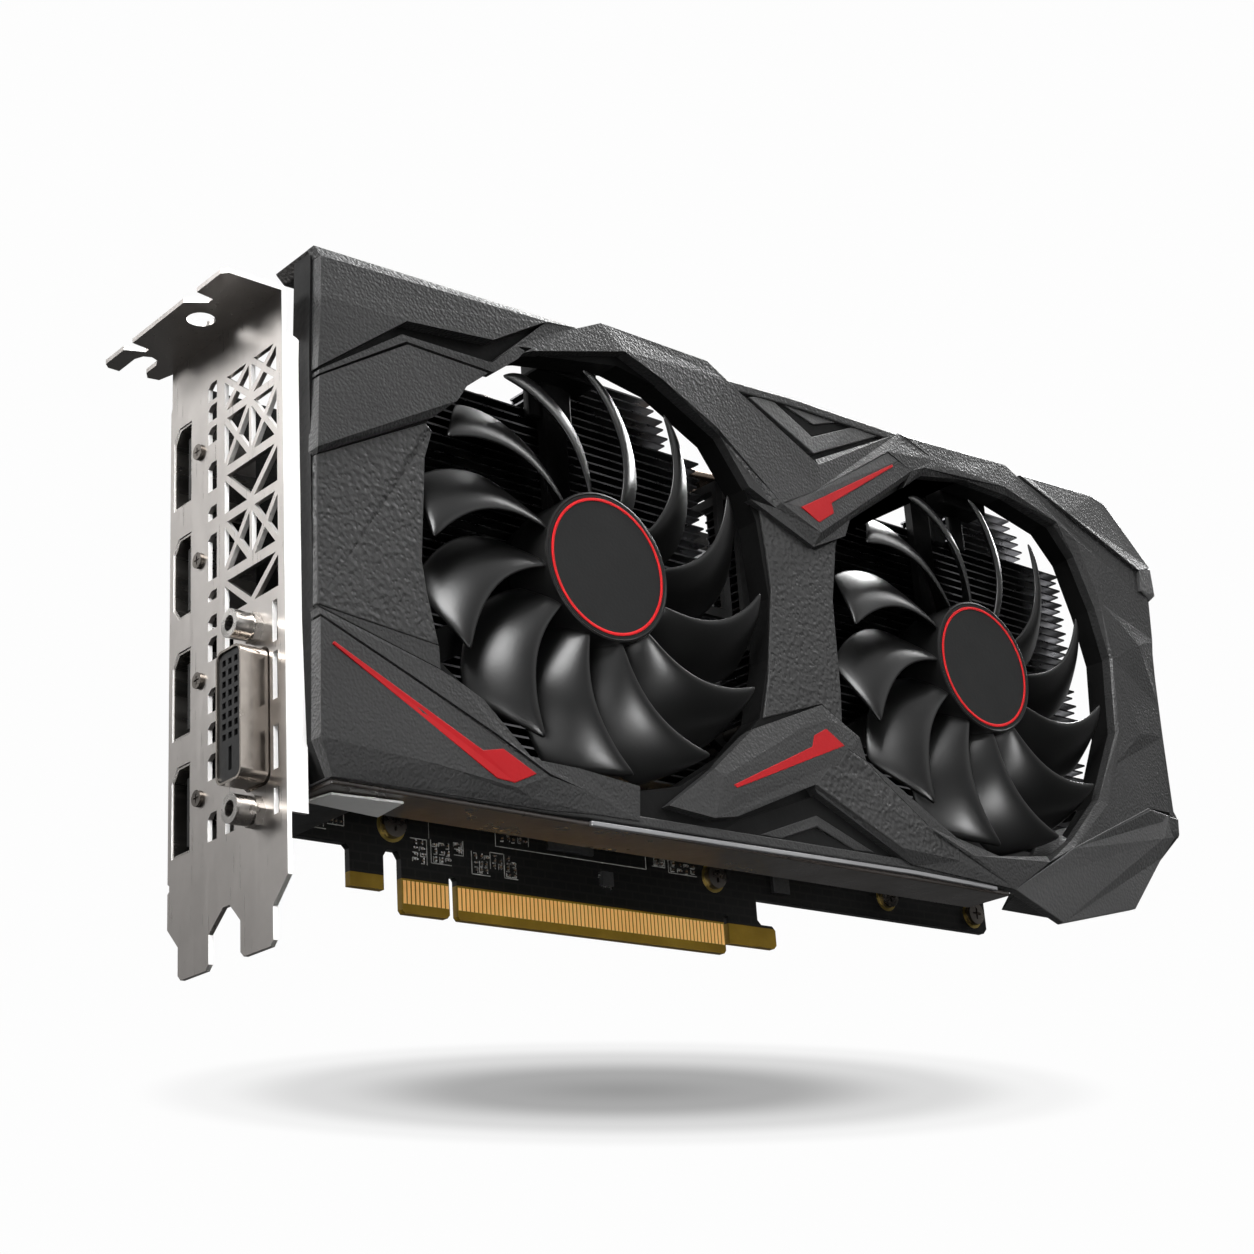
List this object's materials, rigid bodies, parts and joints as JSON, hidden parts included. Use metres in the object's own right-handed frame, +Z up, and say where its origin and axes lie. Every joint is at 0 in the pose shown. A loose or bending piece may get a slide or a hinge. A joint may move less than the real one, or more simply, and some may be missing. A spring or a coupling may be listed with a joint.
{
  "type": "graphics card",
  "caption": "Two-slot graphics card with a faceted black shroud, two open axial fans with red-ringed hubs, finned heatsink, steel I/O bracket and a gold edge connector.",
  "frame": {"origin": "on the board's component face, at the bottom of the edge connector, in the middle of the key notch", "axes": "+X along the card away from the I/O bracket, -Y the way the fans face, +Z up from the edge connector"},
  "size_m": [0.264, 0.0502, 0.133],
  "materials": {
    "bracket_steel": "satin nickel plate",
    "screw_steel": "plated",
    "port_metal": "plated, shaded",
    "dvi_metal": "bright nickel plate",
    "black_insulator": "moulded",
    "board_laminate": "black solder mask",
    "gold_contact": "hard gold plate",
    "substrate_green": "laminate",
    "silicon": "polished",
    "chip_epoxy": "moulded epoxy",
    "thermal_pad": "soft",
    "choke_grey": "pressed ferrite",
    "can_aluminium": "bare",
    "pipe_nickel": "darkened copper",
    "base_aluminium": "milled",
    "fin_black": "black coated",
    "spring_steel": "blackened",
    "shroud_plastic": "leather grain",
    "shroud_grain": "coarse grain",
    "shroud_cover": "fine grain",
    "red_trim": "painted",
    "lip_metal": "semi-gloss",
    "motor_copper": "enamelled winding",
    "bearing_brass": "sintered bronze",
    "lead_rubber": "insulated",
    "holder_plastic": "moulded",
    "fan_plastic": "semi-gloss",
    "magnet_ferrite": "bonded ferrite",
    "badge_face": "satin film"
  },
  "bodies": {
    "card": {"bearing_sleeves": "bearing_brass", "board": "board_laminate", "board_screws": "screw_steel", "bottom_bridge": "shroud_plastic", "bottom_right_cover": "shroud_cover", "capacitors": "can_aluminium", "centre_column": "shroud_grain", "chokes": "choke_grey", "cooler_screws": "screw_steel", "dp_1_core": "black_insulator", "dp_1_shell": "port_metal", "dp_2_core": "black_insulator", "dp_2_shell": "port_metal", "dp_3_core": "black_insulator", "dp_3_shell": "port_metal", "dvi_housing": "black_insulator", "dvi_shell": "dvi_metal", "edge_contacts": "gold_contact", "fan_header": "black_insulator", "fan_holder_left": "holder_plastic", "fan_holder_right": "holder_plastic", "fan_leads": "lead_rubber", "fins_left": "fin_black", "fins_right": "fin_black", "gpu_die": "silicon", "gpu_substrate": "substrate_green", "hdmi_core": "black_insulator", "hdmi_shell": "port_metal", "heat_pipes": "pipe_nickel", "heatsink_base": "base_aluminium", "holder_screws": "screw_steel", "io_bracket": "bracket_steel", "jack_posts": "dvi_metal", "left_panel": "shroud_grain", "lower_lip": "lip_metal", "memory_chips": "chip_epoxy", "mosfets": "chip_epoxy", "motor_stators": "motor_copper", "port_screws": "screw_steel", "power_inlet": "black_insulator", "power_pins": "gold_contact", "retention_plate": "spring_steel", "shroud_frame": "shroud_plastic", "small_parts": "chip_epoxy", "thermal_pads": "thermal_pad", "top_bridge": "shroud_plastic", "top_left_panel": "shroud_plastic", "top_right_cover": "shroud_cover", "trim_bottom": "red_trim", "trim_left": "red_trim", "trim_top": "red_trim"},
    "fan_left": {"rotor_left": "fan_plastic", "shaft_left": "screw_steel", "magnet_left": "magnet_ferrite", "badge_left": "badge_face"},
    "fan_right": {"rotor_right": "fan_plastic", "shaft_right": "screw_steel", "magnet_right": "magnet_ferrite", "badge_right": "badge_face"}
  },
  "joints": [
    {"name": "fan_left_spin", "type": "hinge", "parent": "card", "child": "fan_left", "pos_m": [0.01002, -0.033, 0.06165], "axis": [0, -1, 0], "continuous": true},
    {"name": "fan_right_spin", "type": "hinge", "parent": "card", "child": "fan_right", "pos_m": [0.121, -0.033, 0.06165], "axis": [0, -1, 0], "continuous": true}
  ]
}
